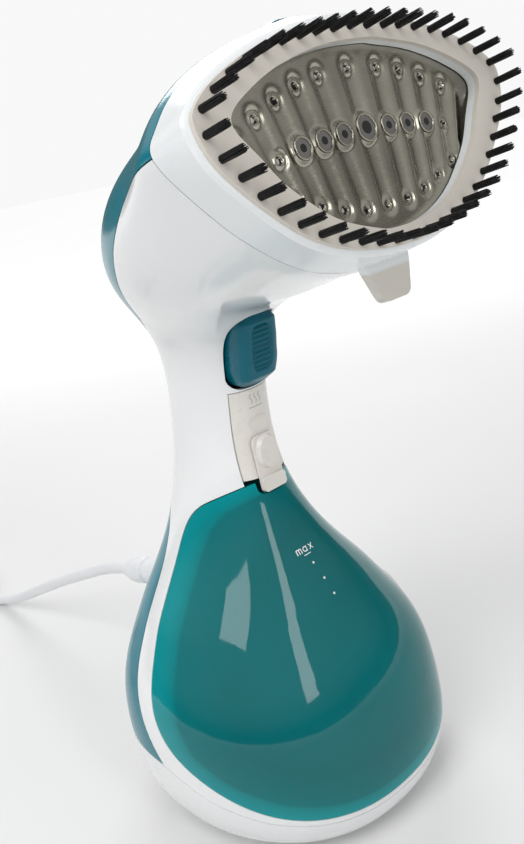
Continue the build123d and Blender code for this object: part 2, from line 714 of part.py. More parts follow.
# ---------------------------------------------------------------- front strip and tank slide
# the slide's seat is a flat plane that leans with the handle
seat_lo, seat_hi = (-16.3, 128.7), (-14.3, 151.0)
slide_vec = Vector(0, seat_hi[0] - seat_lo[0], seat_hi[1] - seat_lo[1]).normalized()
seat_plane = Plane(origin=(0, seat_lo[0], seat_lo[1]), x_dir=(1, 0, 0), z_dir=Vector(0, -slide_vec.Z, slide_vec.Y))

with BuildPart() as strip_zone:
    with BuildSketch(Plane.XZ.offset(40)):
        with BuildLine():
            Polyline((-strip_w - 0.6, strip_z0), (strip_w + 0.6, strip_z0), (strip_w - 0.3, strip_z1 - 0.3), (-strip_w + 0.3, strip_z1 - 0.3), close=True)
        make_face()
    extrude(amount=-38)

with BuildPart() as switch_panel:
    add(whole(skin & strip_zone.part))
    with BuildSketch(seat_plane):
        with BuildLine():
            Polyline((-6.2, 16.5), (-6.2, -4), (6.2, -4), (6.2, 16.5))
            ThreePointArc((-6.2, 16.5), (0, 22.0), (6.2, 16.5))
        make_face()
    extrude(amount=8, mode=Mode.SUBTRACT)
    with BuildSketch(seat_plane):
        with Locations((0, 8.5)):
            SlotOverall(8.8, 3.2, rotation=90)
    extrude(amount=-8, mode=Mode.SUBTRACT)
switch_panel.part.label = "switch_panel"
export_step(switch_panel.part, "parts/switch_panel.step")

with BuildPart() as tank_slide:
    with BuildSketch(seat_plane.offset(0.3)):
        with Locations((0, 4.6)):
            RectangleRounded(10.6, 20.0, 2.6)
    extrude(amount=1.1)
    with BuildSketch(seat_plane.offset(1.3)):
        with Locations((0, 8.2)):
            Ellipse(5.0, 6.4)
    extrude(amount=1.9, taper=24)
    with BuildSketch(seat_plane.offset(0.3)):
        with Locations((0, -3.0)):
            RectangleRounded(10.6, 5.2, 1.4)
    extrude(amount=2.2)
    with BuildSketch(seat_plane.offset(1.0)):
        with Locations((0, 6.0)):
            RectangleRounded(2.4, 2.4, 0.6)
    extrude(amount=-7.6)
tank_slide.part.label = "tank_slide"
export_step(tank_slide.part, "parts/tank_slide.step")

peg = seat_plane.from_local_coords((0, 6.0, -5.1))
spring_y = peg.Y
spring_lo, spring_hi = peg.Z + 1.7, 153.6
with BuildPart() as slide_spring:
    with BuildLine(Plane(origin=(0, spring_y, spring_lo))) as spring_path:
        Helix(pitch=(spring_hi - spring_lo) / 6, height=spring_hi - spring_lo, radius=1.6)
    with BuildSketch(Plane(origin=spring_path.line @ 0, z_dir=spring_path.line % 0)):
        Circle(0.3)
    sweep(path=spring_path.line)
slide_spring.part.label = "slide_spring"
export_step(slide_spring.part, "parts/slide_spring.step")

with BuildPart() as spring_seat:
    with BuildSketch(Plane.XY.offset(spring_hi + 0.4)):
        with Locations((0, spring_y)):
            Rectangle(8, 6.0)
    extrude(amount=1.6)
    with BuildSketch(Plane.XY.offset(spring_hi - 1.6)):
        with Locations((0, spring_y)):
            Circle(1.0)
    extrude(amount=2.4)
spring_seat.part.label = "spring_seat"
export_step(spring_seat.part, "parts/spring_seat.step")

# ---------------------------------------------------------------- pump, hoses and electrics
with BuildPart() as pump_body:
    with BuildSketch(Plane.XY.offset(127)):
        with Locations((0, 9)):
            RectangleRounded(16, 15, 2)
    extrude(amount=31)
    with BuildSketch(Plane.XY.offset(146)):
        with Locations((0, 9)):
            Circle(4.1)
    extrude(amount=13, mode=Mode.SUBTRACT)
pump_body.part.label = "pump_body"
export_step(pump_body.part, "parts/pump_body.step")

with BuildPart() as pump_plunger:
    with BuildSketch(Plane.XY.offset(150)):
        with Locations((0, 9)):
            Circle(4.02)
    extrude(amount=12.6)
    with BuildSketch(Plane.XY.offset(162.6)):
        with Locations((0, 9)):
            Circle(6)
    extrude(amount=1.6)
pump_plunger.part.label = "pump_plunger"
export_step(pump_plunger.part, "parts/pump_plunger.step")

with BuildPart() as pump_spring:
    with BuildLine(Plane(origin=(0, 9, 158.45))) as pump_path:
        Helix(pitch=1.25, height=3.75, radius=5.0)
    with BuildSketch(Plane(origin=pump_path.line @ 0, z_dir=pump_path.line % 0)):
        Circle(0.35)
    sweep(path=pump_path.line)
pump_spring.part.label = "pump_spring"
export_step(pump_spring.part, "parts/pump_spring.step")

with BuildPart() as docking_socket:
    with BuildSketch(Plane.XZ.offset(-14.6)):
        with Locations((0, outlet_z)):
            Circle(6)
    extrude(amount=-9.4)
    with BuildSketch(Plane.XZ.offset(-14)):
        with Locations((0, outlet_z)):
            Circle(3.3)
    extrude(amount=-7.5, mode=Mode.SUBTRACT)
docking_socket.part.label = "docking_socket"
export_step(docking_socket.part, "parts/docking_socket.step")

with BuildPart() as water_hose:
    add(tube_along([(0, 24.1, outlet_z), (0, 28.6, outlet_z), (0, 27.4, 112), (0, 26, 127), (0, 22.5, 134), (0, 16.6, 134)], [2.6, 9, 12, 3.2], 2.2))
water_hose.part.label = "water_hose"
export_step(water_hose.part, "parts/water_hose.step")

with BuildPart() as steam_hose:
    add(tube_along([(0, 16.6, 151), (0, 20.8, 151), (0, 20.4, 165), (0, 16, 183), (-6, 0, 209), (-22, -34, 229), (-28, -58.0, 235.0)], [2.2, 14, 16, 16, 20], 2.0))
steam_hose.part.label = "steam_hose"
export_step(steam_hose.part, "parts/steam_hose.step")

with BuildPart() as circuit_board:
    with BuildSketch(Plane.XZ.offset(-21)):
        with Locations((0, 47)):
            Rectangle(38, 28)
    extrude(amount=-1.6)
circuit_board.part.label = "circuit_board"
export_step(circuit_board.part, "parts/circuit_board.step")

with BuildPart() as board_parts:
    with BuildSketch(Plane.XZ.offset(-22.6)):
        with Locations((-9, 50)):
            Rectangle(11, 13)
        with Locations((9, 54), (9, 43)):
            Circle(3.6)
        with Locations((-7, 38)):
            Rectangle(8, 5)
    extrude(amount=-7)
board_parts.part.label = "board_parts"
export_step(board_parts.part, "parts/board_parts.step")

with BuildPart() as power_wires:
    for sx, end in ((1, face_point(13.5, 0, -31)), (-1, face_point(-22.5, -11, -26))):
        mid = (sx * 15, -34, 220) if sx > 0 else (-18, -34, 216)
        add(tube_along([(sx * 8.6, 25, 64), (sx * 8.6, 25.4, 104), (sx * 8.4, 24.2, 121), (sx * 10, 12, 140), (sx * 10.2, 4, 158), (sx * 10.2, 3.4, 178), (sx * 11, -2, 198), mid, end],
                       [60, 20, 20, 20, 24, 20, 18], 1.0))
power_wires.part.label = "power_wires"
export_step(power_wires.part, "parts/power_wires.step")

# ---------------------------------------------------------------- cord exit, cord and plug
with BuildPart() as cord_clamp:
    with BuildSketch(exit_plane(-20)):
        Rectangle(14, 9)
        Circle(cord_r + 0.1, mode=Mode.SUBTRACT)
    extrude(amount=7)
cord_clamp.part.label = "cord_clamp"
export_step(cord_clamp.part, "parts/cord_clamp.step")

with BuildPart() as inner_cable:
    with BuildSketch(exit_plane(-22)):
        Circle(cord_r)
    extrude(amount=50.4)
inner_cable.part.label = "inner_cable"
export_step(inner_cable.part, "parts/inner_cable.step")


def turned(profile):
    """Solid turned about the cord's exit axis from (radius, distance along the axis) points."""
    with BuildPart(mode=Mode.PRIVATE) as body:
        with BuildSketch(Plane(origin=on_exit(0), x_dir=(1, 0, 0), z_dir=(0, -exit_dir[2], exit_dir[1]))):
            with BuildLine():
                Polyline(*profile, close=True)
            make_face()
        revolve(axis=Axis(on_exit(0), exit_dir))
    return body.part


with BuildPart() as cord_socket:
    add(turned([(3.3, -9.6), (9.4, -9.6), (9.4, -8.2), (7.1, -8.2), (7.1, 4), (6.6, 14), (6.1, 27.4), (5.0, 28.2), (3.3, 28.2)]))
cord_socket.part.label = "cord_socket"
export_step(cord_socket.part, "parts/cord_socket.step")

with BuildPart() as strain_relief:
    add(turned([(0, 28.6), (4.6, 28.6), (4.9, 29.6), (5.9, 30.4), (6.3, 32.5), (6.3, 38.0), (5.9, 41.5), (4.9, 45.0), (3.9, 48.5), (0, 48.5)]))
strain_relief.part.label = "strain_relief"
export_step(strain_relief.part, "parts/strain_relief.step")

c0 = on_exit(48.5)
cord_points = [c0, on_exit(65.0), (-2.0, 141.5, 41.6), (-4.8, 170.5, 29.0), (-9.0, 208.0, 10.6), (-12.4, 229.0, 3.2), (-15.8, 243.5, 2.95), (-18.2, 256.0, 3.05)]


def route_radii(points, share=0.45):
    """Largest even arcs for a route: 0.45 of the shorter run over the tangent of half the turn."""
    out = []
    for a, b, c in zip(points[:-2], points[1:-1], points[2:]):
        v1, v2 = Vector(*b) - Vector(*a), Vector(*c) - Vector(*b)
        turn = math.radians(v1.get_angle(v2))
        out.append(share * min(v1.length, v2.length) / math.tan(turn / 2))
    return out


radii = route_radii(cord_points)
print("cord radii", [round(r, 1) for r in radii])
cord_solid = tube_along(cord_points, radii, cord_r)
print("cord volume over section", round(cord_solid.volume / (math.pi * cord_r ** 2), 1), "runs", round(sum((Vector(*b) - Vector(*a)).length for a, b in zip(cord_points, cord_points[1:])), 1))
with BuildPart() as cord:
    add(cord_solid)
cord.part.label = "cord"
export_step(cord.part, "parts/cord.step")

with BuildPart() as cord_coil:
    with BuildSketch(Plane(origin=(coil_x, coil_y, 0), x_dir=(1, 0, 0), z_dir=(0, -1, 0))):
        with Locations((coil_r, coil_h / 2)):
            RectangleRounded(coil_w, coil_h, 2.8)
    revolve(axis=Axis((coil_x, coil_y, 0), (0, 0, 1)))
cord_coil.part.label = "cord_coil"
export_step(cord_coil.part, "parts/cord_coil.step")

plug_x, plug_y, plug_z = -87.0, 192.0, 9.0
with BuildPart() as plug_body:
    with BuildSketch(Plane(origin=(plug_x, plug_y, plug_z), x_dir=(1, 0, 0), z_dir=(0, 1, 0))):
        RectangleRounded(34, 16, 7.2)
    with BuildSketch(Plane(origin=(plug_x, plug_y + 20, plug_z), x_dir=(1, 0, 0), z_dir=(0, 1, 0))):
        RectangleRounded(30, 15, 7.0)
    with BuildSketch(Plane(origin=(plug_x, plug_y + 32, plug_z), x_dir=(1, 0, 0), z_dir=(0, 1, 0))):
        RectangleRounded(13, 12, 5.8)
    loft(ruled=True)
    with BuildSketch(Plane(origin=(plug_x, plug_y + 31, plug_z), x_dir=(1, 0, 0), z_dir=(0, 1, 0))):
        Circle(5.4)
    with BuildSketch(Plane(origin=(plug_x, plug_y + 58, plug_z), x_dir=(1, 0, 0), z_dir=(0, 1, 0))):
        Circle(3.9)
    loft()
plug_body.part.label = "plug_body"
export_step(plug_body.part, "parts/plug_body.step")

with BuildPart() as plug_pins:
    with BuildSketch(Plane(origin=(plug_x, plug_y, plug_z), x_dir=(1, 0, 0), z_dir=(0, -1, 0))):
        with Locations((-9.5, 0), (9.5, 0)):
            Circle(2.4)
    extrude(amount=19)
    fillet(plug_pins.edges().group_by(Axis.Y)[0], 1.0)
plug_pins.part.label = "plug_pins"
export_step(plug_pins.part, "parts/plug_pins.step")
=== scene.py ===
import bpy, bmesh, math
from mathutils import Vector, Matrix
from mathutils.bvhtree import BVHTree
import random


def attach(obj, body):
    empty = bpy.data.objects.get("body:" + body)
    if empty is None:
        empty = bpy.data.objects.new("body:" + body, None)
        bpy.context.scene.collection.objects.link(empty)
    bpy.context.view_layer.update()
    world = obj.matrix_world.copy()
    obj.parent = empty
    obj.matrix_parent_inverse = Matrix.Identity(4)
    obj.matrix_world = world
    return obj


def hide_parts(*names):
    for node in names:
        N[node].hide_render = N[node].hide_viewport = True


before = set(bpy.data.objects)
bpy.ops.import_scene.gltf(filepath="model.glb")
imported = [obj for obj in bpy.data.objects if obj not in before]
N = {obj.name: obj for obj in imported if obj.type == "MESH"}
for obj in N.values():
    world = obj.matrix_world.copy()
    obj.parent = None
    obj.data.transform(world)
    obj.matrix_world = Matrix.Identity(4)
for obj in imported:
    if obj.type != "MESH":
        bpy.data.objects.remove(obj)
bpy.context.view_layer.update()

scene = bpy.context.scene
MM = 0.001

# ------------------------------------------------------------------ camera
cam_data = bpy.data.cameras.new("camera")
cam = bpy.data.objects.new("camera", cam_data)
scene.collection.objects.link(cam)
cam_data.sensor_width = 36.0
cam_data.lens = 37.94
cam_data.clip_start = 0.01
cam_data.clip_end = 30
rr, uu, bb = (0.71686, -0.67826, -0.16149), (0.33785, 0.13531, 0.93142), (-0.60989, -0.72226, 0.32615)
rot = Matrix(((rr[0], uu[0], bb[0]), (rr[1], uu[1], bb[1]), (rr[2], uu[2], bb[2])))
cam.matrix_world = Matrix.Translation(Vector((-188.627, -240.500, 248.762)) * MM) @ rot.to_4x4()
scene.camera = cam


# ------------------------------------------------------------------ material helpers
def new_material(name):
    m = bpy.data.materials.new(name)
    m.use_nodes = True
    nt = m.node_tree
    nt.nodes.clear()
    out = nt.nodes.new("ShaderNodeOutputMaterial")
    bsdf = nt.nodes.new("ShaderNodeBsdfPrincipled")
    nt.links.new(bsdf.outputs["BSDF"], out.inputs["Surface"])
    coord = nt.nodes.new("ShaderNodeTexCoord")
    return m, nt, bsdf, coord


def noise(nt, coord, scale, detail=3.0, rough=0.5, stretch=None):
    n = nt.nodes.new("ShaderNodeTexNoise")
    n.inputs["Scale"].default_value = scale
    n.inputs["Detail"].default_value = detail
    n.inputs["Roughness"].default_value = rough
    if stretch:
        mp = nt.nodes.new("ShaderNodeMapping")
        mp.inputs["Scale"].default_value = stretch
        nt.links.new(coord.outputs["Object"], mp.inputs["Vector"])
        nt.links.new(mp.outputs["Vector"], n.inputs["Vector"])
    else:
        nt.links.new(coord.outputs["Object"], n.inputs["Vector"])
    return n


def ramp(nt, source, stops, socket="Fac"):
    r = nt.nodes.new("ShaderNodeValToRGB")
    els = r.color_ramp.elements
    els[0].position, els[0].color = stops[0][0], (*stops[0][1], 1)
    els[1].position, els[1].color = stops[-1][0], (*stops[-1][1], 1)
    for p, c in stops[1:-1]:
        e = els.new(p)
        e.color = (*c, 1)
    nt.links.new(source.outputs[socket], r.inputs["Fac"])
    return r


def bump_chain(nt, bsdf, layers):
    """Bump layers of (height node, socket, strength, distance in metres)."""
    last = None
    for node, sock, strength, dist in layers:
        b = nt.nodes.new("ShaderNodeBump")
        b.inputs["Strength"].default_value = strength
        b.inputs["Distance"].default_value = dist
        nt.links.new(node.outputs[sock], b.inputs["Height"])
        if last is not None:
            nt.links.new(last.outputs["Normal"], b.inputs["Normal"])
        last = b
    nt.links.new(last.outputs["Normal"], bsdf.inputs["Normal"])


def plastic(name, color, rough=0.25, vary=0.05, fine=0.04, coat=0.0, coat_rough=0.08, ior=1.48, subsurface=0.0, grain=2600, scuff=0.10):
    """Moulded plastic: faint tone drift, sink marks, fine mould grain and handling scuffs."""
    m, nt, bsdf, co = new_material(name)
    drift = noise(nt, co, 22, 3)
    lo = tuple(c * (1 - vary) for c in color)
    hi = tuple(min(1, c * (1 + vary)) for c in color)
    r = ramp(nt, drift, [(0.3, lo), (0.7, hi)])
    nt.links.new(r.outputs["Color"], bsdf.inputs["Base Color"])
    wear = noise(nt, co, 85, 6, 0.62)
    rg = ramp(nt, wear, [(0.35, (rough * (1 - scuff),) * 3), (0.62, (rough,) * 3), (0.8, (min(1, rough * (1 + 3 * scuff)),) * 3)])
    nt.links.new(rg.outputs["Color"], bsdf.inputs["Roughness"])
    g = noise(nt, co, grain, 2)
    sink = noise(nt, co, 45, 1)
    bump_chain(nt, bsdf, [(sink, "Fac", 0.06, 0.0006), (g, "Fac", fine, 0.0001)])
    bsdf.inputs["IOR"].default_value = ior
    bsdf.inputs["Coat Weight"].default_value = coat
    bsdf.inputs["Coat Roughness"].default_value = coat_rough
    if subsurface:
        bsdf.inputs["Subsurface Weight"].default_value = subsurface
        bsdf.inputs["Subsurface Radius"].default_value = (0.004, 0.004, 0.005)
        bsdf.inputs["Subsurface Scale"].default_value = 0.6
    return m


def metal(name, color, rough=0.15, vary=0.08, stretch=None, bump=0.05, scale=60):
    m, nt, bsdf, co = new_material(name)
    a = noise(nt, co, scale, 4, 0.55, stretch)
    r = ramp(nt, a, [(0.3, tuple(c * (1 - vary) for c in color)), (0.7, tuple(min(1, c * (1 + vary)) for c in color))])
    nt.links.new(r.outputs["Color"], bsdf.inputs["Base Color"])
    b = noise(nt, co, 420, 5, 0.6, stretch)
    rg = ramp(nt, b, [(0.3, (rough * 0.7,) * 3), (0.75, (rough * 1.5,) * 3)])
    nt.links.new(rg.outputs["Color"], bsdf.inputs["Roughness"])
    bump_chain(nt, bsdf, [(b, "Fac", bump, 0.00012)])
    bsdf.inputs["Metallic"].default_value = 1.0
    return m


M = {}
M["white_shell"] = plastic("white_shell", (0.83, 0.84, 0.85), 0.17, 0.02, 0.03, coat=0.5)
M["brush_white"] = plastic("brush_white", (0.80, 0.83, 0.845), 0.22, 0.02, 0.03, coat=0.3)
# painted shade: the pull tab under the frame, below a set height, gets a darker, warmer colour for the shade it sits
# in; it is the same plastic as the frame
bt = M["brush_white"].node_tree
bs = next(n for n in bt.nodes if n.type == "BSDF_PRINCIPLED")
old = bs.inputs["Base Color"].links[0].from_socket
tc = next(n for n in bt.nodes if n.type == "TEX_COORD")
sz = bt.nodes.new("ShaderNodeSeparateXYZ")
bt.links.new(tc.outputs["Object"], sz.inputs["Vector"])
tab_shade_mask = bt.nodes.new("ShaderNodeMapRange")
tab_shade_mask.inputs["From Min"].default_value, tab_shade_mask.inputs["From Max"].default_value = 0.2034, 0.2024
bt.links.new(sz.outputs["Z"], tab_shade_mask.inputs["Value"])
tab_painted_shade = bt.nodes.new("ShaderNodeMix")
tab_painted_shade.data_type = "RGBA"
tab_painted_shade.inputs[7].default_value = (0.66, 0.63, 0.58, 1)
bt.links.new(tab_shade_mask.outputs["Result"], tab_painted_shade.inputs[0])
bt.links.new(old, tab_painted_shade.inputs[6])
bt.links.new(tab_painted_shade.outputs[2], bs.inputs["Base Color"])
M["teal_cover"] = plastic("teal_cover", (0.001, 0.185, 0.245), 0.20, 0.06, 0.03, coat=0.0)
next(n for n in M["teal_cover"].node_tree.nodes if n.type == "BSDF_PRINCIPLED").inputs["Specular IOR Level"].default_value = 0.34
M["trigger_teal"] = plastic("trigger_teal", (0.0, 0.120, 0.170), 0.30, 0.06, 0.06, coat=0.0)
next(n for n in M["trigger_teal"].node_tree.nodes if n.type == "BSDF_PRINCIPLED").inputs["Specular IOR Level"].default_value = 0.30
M["off_white"] = plastic("off_white", (0.76, 0.725, 0.68), 0.30, 0.02, 0.05, coat=0.2)
M["beige_face"] = plastic("beige_face", (0.66, 0.62, 0.56), 0.45, 0.04, 0.10, grain=3400)
M["black_plastic"] = plastic("black_plastic", (0.022, 0.022, 0.024), 0.45, 0.2, 0.12)
M["nozzle_grey"] = metal("nozzle_grey", (0.30, 0.295, 0.285), 0.30, 0.06)
M["cast_aluminium"] = metal("cast_aluminium", (0.62, 0.62, 0.61), 0.42, 0.10, bump=0.5)
M["spring_steel"] = metal("spring_steel", (0.60, 0.60, 0.62), 0.25, 0.06)
M["brass_pin"] = metal("brass_pin", (0.72, 0.68, 0.58), 0.22, 0.06)
M["silicone"] = plastic("silicone", (0.72, 0.73, 0.71), 0.48, 0.03, 0.08, subsurface=0.1)
M["base_rubber"] = plastic("base_rubber", (0.10, 0.105, 0.11), 0.75, 0.12, 0.35, grain=1400)
M["board_green"] = plastic("board_green", (0.02, 0.12, 0.05), 0.35, 0.2, 0.1)
M["cord_white"] = plastic("cord_white", (0.79, 0.80, 0.82), 0.36, 0.03, 0.12, grain=1700, subsurface=0.05)
M["wire_red"] = plastic("wire_red", (0.35, 0.03, 0.02), 0.4, 0.08, 0.1)

# tinted clear tank: gloss outside, the body's white bay shows through it
m, nt, bsdf, co = new_material("tank_teal")
drift = noise(nt, co, 12, 2)
r = ramp(nt, drift, [(0.3, (0.001, 0.46, 0.50)), (0.7, (0.001, 0.53, 0.56))])
# painted light and shade: paler along the joint, where the white bay lies close behind and lights the tank through;
# darker over the body of the tank
sx_ = nt.nodes.new("ShaderNodeSeparateXYZ")
nt.links.new(co.outputs["Object"], sx_.inputs["Vector"])
zn = nt.nodes.new("ShaderNodeMath")
zn.operation = "DIVIDE"
zn.inputs[1].default_value = 0.14
nt.links.new(sx_.outputs["Z"], zn.inputs[0])
line = [(0.0130, -0.080), (0.0172, -0.060), (0.0226, -0.046), (0.0288, -0.0332), (0.0362, -0.0192), (0.045, -0.0055), (0.0548, 0.0024), (0.0665, 0.0072),
        (0.079, 0.0102), (0.091, 0.0117), (0.102, 0.0116), (0.112, 0.0092), (0.1182, 0.004), (0.1226, -0.004), (0.1268, -0.014), (0.1305, -0.028)]
edge = ramp(nt, zn, [(z_ / 0.14, ((y_ + 0.09) / 0.11,) * 3) for z_, y_ in line], "Value")
yn = nt.nodes.new("ShaderNodeMath")
yn.operation = "MULTIPLY_ADD"
yn.inputs[1].default_value = 1 / 0.11
yn.inputs[2].default_value = 0.09 / 0.11
nt.links.new(sx_.outputs["Y"], yn.inputs[0])
away = nt.nodes.new("ShaderNodeMath")
away.operation = "SUBTRACT"
nt.links.new(edge.outputs["Color"], away.inputs[0])
nt.links.new(yn.outputs["Value"], away.inputs[1])
tank_painted_shade = ramp(nt, away, [(0.0, (1.0,) * 3), (0.07, (0.86,) * 3), (0.105, (0.74,) * 3), (0.125, (0.55,) * 3), (0.32, (0.46,) * 3), (0.8, (0.58,) * 3)], "Value")
tint_and_painted_shade = nt.nodes.new("ShaderNodeMix")
tint_and_painted_shade.data_type = "RGBA"
tint_and_painted_shade.blend_type = "MULTIPLY"
tint_and_painted_shade.inputs[0].default_value = 1.0
nt.links.new(r.outputs["Color"], tint_and_painted_shade.inputs[6])
nt.links.new(tank_painted_shade.outputs["Color"], tint_and_painted_shade.inputs[7])
nt.links.new(tint_and_painted_shade.outputs[2], bsdf.inputs["Base Color"])
smear = noise(nt, co, 70, 5, 0.6)
rg = ramp(nt, smear, [(0.4, (0.03,) * 3), (0.8, (0.09,) * 3)])
nt.links.new(rg.outputs["Color"], bsdf.inputs["Roughness"])
sink = noise(nt, co, 24, 1)
bump_chain(nt, bsdf, [(sink, "Fac", 0.08, 0.0008)])
bsdf.inputs["IOR"].default_value = 1.46
bsdf.inputs["Transmission Weight"].default_value = 0.45
bsdf.inputs["Specular IOR Level"].default_value = 0.36
M["tank_teal"] = m

# polished formed steel with brushing across and water marks
m, nt, bsdf, co = new_material("polished_steel")
a = noise(nt, co, 55, 4, 0.6)
r = ramp(nt, a, [(0.3, (0.30, 0.285, 0.24)), (0.55, (0.385, 0.37, 0.31)), (0.75, (0.46, 0.44, 0.375))])
nt.links.new(r.outputs["Color"], bsdf.inputs["Base Color"])
b = noise(nt, co, 300, 5, 0.65, (1.0, 6.0, 6.0))
rg = ramp(nt, b, [(0.3, (0.19,) * 3), (0.75, (0.30,) * 3)])
nt.links.new(rg.outputs["Color"], bsdf.inputs["Roughness"])
bump_chain(nt, bsdf, [(a, "Fac", 0.10, 0.0008), (b, "Fac", 0.05, 0.0001)])
bsdf.inputs["Metallic"].default_value = 1.0
M["polished_steel"] = m

m, nt, bsdf, co = new_material("bristle_black")
a = noise(nt, co, 900, 3, 0.6, (1, 1, 1))
r = ramp(nt, a, [(0.3, (0.002, 0.002, 0.002)), (0.75, (0.010, 0.010, 0.011))])
nt.links.new(r.outputs["Color"], bsdf.inputs["Base Color"])
rg = ramp(nt, a, [(0.3, (0.35,) * 3), (0.75, (0.6,) * 3)])
nt.links.new(rg.outputs["Color"], bsdf.inputs["Roughness"])
bump_chain(nt, bsdf, [(a, "Fac", 0.3, 0.0001)])
bsdf.inputs["Specular IOR Level"].default_value = 0.25
M["bristle_black"] = m

M["print_white"] = plastic("print_white", (0.85, 0.86, 0.86), 0.5, 0.03, 0.05)
M["print_grey"] = plastic("print_grey", (0.42, 0.42, 0.42), 0.5, 0.05, 0.05)
# near-black material for the painted shade inside the holes
M["dark_hole"] = plastic("dark_hole", (0.012, 0.011, 0.010), 0.7, 0.2, 0.1)

uses = {
    "white_shell": ["left_shell", "right_shell", "base_shoe", "head_collar", "tank_bay_wall"],
    "brush_white": ["brush_frame"],
    "teal_cover": ["head_rear_cover", "lower_rear_cover"],
    "trigger_teal": ["trigger"],
    "tank_teal": ["water_tank"],
    "off_white": ["switch_panel", "tank_slide", "spring_seat"],
    "beige_face": ["bristle_carrier"],
    "bristle_black": ["bristle_tufts"],
    "polished_steel": ["steam_plate"],
    "nozzle_grey": ["steam_nozzles"],
    "cast_aluminium": ["steam_chamber", "chamber_lid", "thermostat"],
    "spring_steel": ["slide_spring", "pump_spring", "trigger_spring", "trigger_pin", "shell_screws", "heating_element"],
    "black_plastic": ["microswitch", "switch_button", "pump_body", "board_parts", "cord_clamp", "outlet_fitting", "outlet_valve", "docking_socket", "pump_plunger"],
    "silicone": ["fill_plug", "chamber_gasket", "water_hose", "steam_hose", "pickup_hose", "pickup_weight", "thermal_fuse"],
    "base_rubber": ["base_pad"],
    "board_green": ["circuit_board"],
    "cord_white": ["cord", "cord_coil", "cord_socket", "strain_relief", "plug_body", "inner_cable"],
    "wire_red": ["power_wires"],
    "brass_pin": ["plug_pins"],
}
for mat, names in uses.items():
    for n in names:
        N[n].data.materials.clear()
        N[n].data.materials.append(M[mat])


# ------------------------------------------------------------------ shape helpers
def mesh_object(name, verts, faces, mat, body, smooth=True, replaces=()):
    me = bpy.data.meshes.new(name)
    me.from_pydata([tuple(v) for v in verts], [], faces)
    me.validate()
    me.update()
    if smooth:
        me.polygons.foreach_set("use_smooth", [True] * len(me.polygons))
    o = bpy.data.objects.new(name, me)
    scene.collection.objects.link(o)
    for k in (mat if isinstance(mat, (list, tuple)) else [mat]):
        me.materials.append(M[k])
    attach(o, body)
    if replaces:
        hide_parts(*replaces)
    return o


tilt = math.radians(13.7)
nrm = Vector((0, -math.cos(tilt), math.sin(tilt)))
upv = Vector((0, math.sin(tilt), math.cos(tilt)))
face_c = Vector((0, -79.5, 240.2))


def face(x, v, d):
    return (face_c + Vector((x, 0, 0)) + upv * v + nrm * d) * MM


# ------------------------------------------------------------------ cord, coil and plug
ea = math.radians(-12.9)


def on_exit(s):
    return (0.0, 50.0 + math.cos(ea) * s, 67.87 + math.sin(ea) * s)


route = [on_exit(48.5), on_exit(65.0), (-2.0, 141.5, 41.6), (-4.8, 170.5, 29.0), (-9.0, 208.0, 10.6), (-12.4, 229.0, 3.2), (-15.8, 243.5, 2.95), (-17.2, 253.0, 2.95)]
cx, cy = -52.0, 262.0
per = 14
places = [(34.0, 2.95), (28.2, 2.95), (28.2, 8.7), (28.2, 14.5), (28.2, 20.2), (34.0, 20.2), (34.0, 14.5), (34.0, 8.8)]
coil = []
for k in range(0, int(7.5 * per) + 1):
    turn, part = divmod(k, per)
    f = part / per
    r0, z0 = places[turn]
    r1, z1 = places[min(turn + 1, 7)]
    g = max(0.0, min(1.0, (f - 0.78) / 0.22)) if turn < 7 else 0.0
    g = g * g * (3 - 2 * g)
    rad = (r0 + (r1 - r0) * g) / math.cos(math.pi / per) ** 0.9
    a = 2 * math.pi * (k + 0.35) / per
    coil.append((cx + rad * math.cos(a), cy + rad * math.sin(a), z0 + (z1 - z0) * g))
end = [(-86.9, 255.5, 8.9), (-87.0, 250.0, 9.0), (-87.0, 244.0, 9.0)]
points = route + coil[:-1] + end

cu = bpy.data.curves.new("mains_cord", "CURVE")
cu.dimensions = "3D"
sp = cu.splines.new("NURBS")
sp.points.add(len(points) - 1)
for p, q in zip(sp.points, points):
    p.co = (q[0] * MM, q[1] * MM, q[2] * MM, 1)
sp.order_u = 3
sp.use_endpoint_u = True
sp.resolution_u = 8
cu.bevel_depth = 2.9 * MM
cu.bevel_resolution = 5
cu.use_fill_caps = True
cord = bpy.data.objects.new("mains_cord", cu)
scene.collection.objects.link(cord)
cu.materials.append(M["cord_white"])
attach(cord, "housing")
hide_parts("cord", "cord_coil")

# ------------------------------------------------------------------ steam plate with formed channels
front_shield = [1.0, 1.0, .998, .9942, .9765, .9576, .9524, .9709, .9935, 1.0, .9893, .9692, .9516, .9444, .9502, .9651, .9807, .9933, 1.0]


def front_outline(a, inset):
    """Outline of the brush frame's front at angle a (radians from +X), moved in by inset."""
    c, sn = math.cos(a), math.sin(a)
    k = (math.degrees(math.asin(max(-1, min(1, sn)))) + 90) / 10
    i = min(17, int(k))
    r = front_shield[i] + (front_shield[i + 1] - front_shield[i]) * (k - i)
    return r * c * (60.9 - inset), 7.3 + r * sn * ((28.6 - 7.3 - inset) if sn > 0 else (7.3 + 33.5 - inset))


top_row = [(0, 16.0), (11.6, 15.1), (20.5, 13.4), (29.0, 10.7), (37.2, 7.3)]
low_row = [(0, -20.6), (8.5, -20.5), (16.6, -19.0), (24.2, -16.7), (32.4, -13.5)]
mid_row = [(9.0, -0.6), (16.9, -1.1), (25.0, -1.8)]
plain = [(sx * x, v) for sx in (-1, 1) for x, v in top_row + low_row + [(33.3, -3.3)] if not (sx < 0 and x == 0)]
eyelets = [(sx * x, v, 2.4) for sx in (-1, 1) for x, v in mid_row] + [(0, 0, 3.1)]


def smooth(e0, e1, x):
    u = max(0.0, min(1.0, (x - e0) / (e1 - e0)))
    return u * u * (3 - 2 * u)


flutes = sorted([(sx * lx, lv, sx * tx, tv) for (tx, tv), (lx, lv) in zip(top_row, low_row) for sx in (-1, 1) if not (sx < 0 and tx == 0)] +
                [(sx * 40.5, -9.0, sx * 45.3, 2.5) for sx in (-1, 1)])


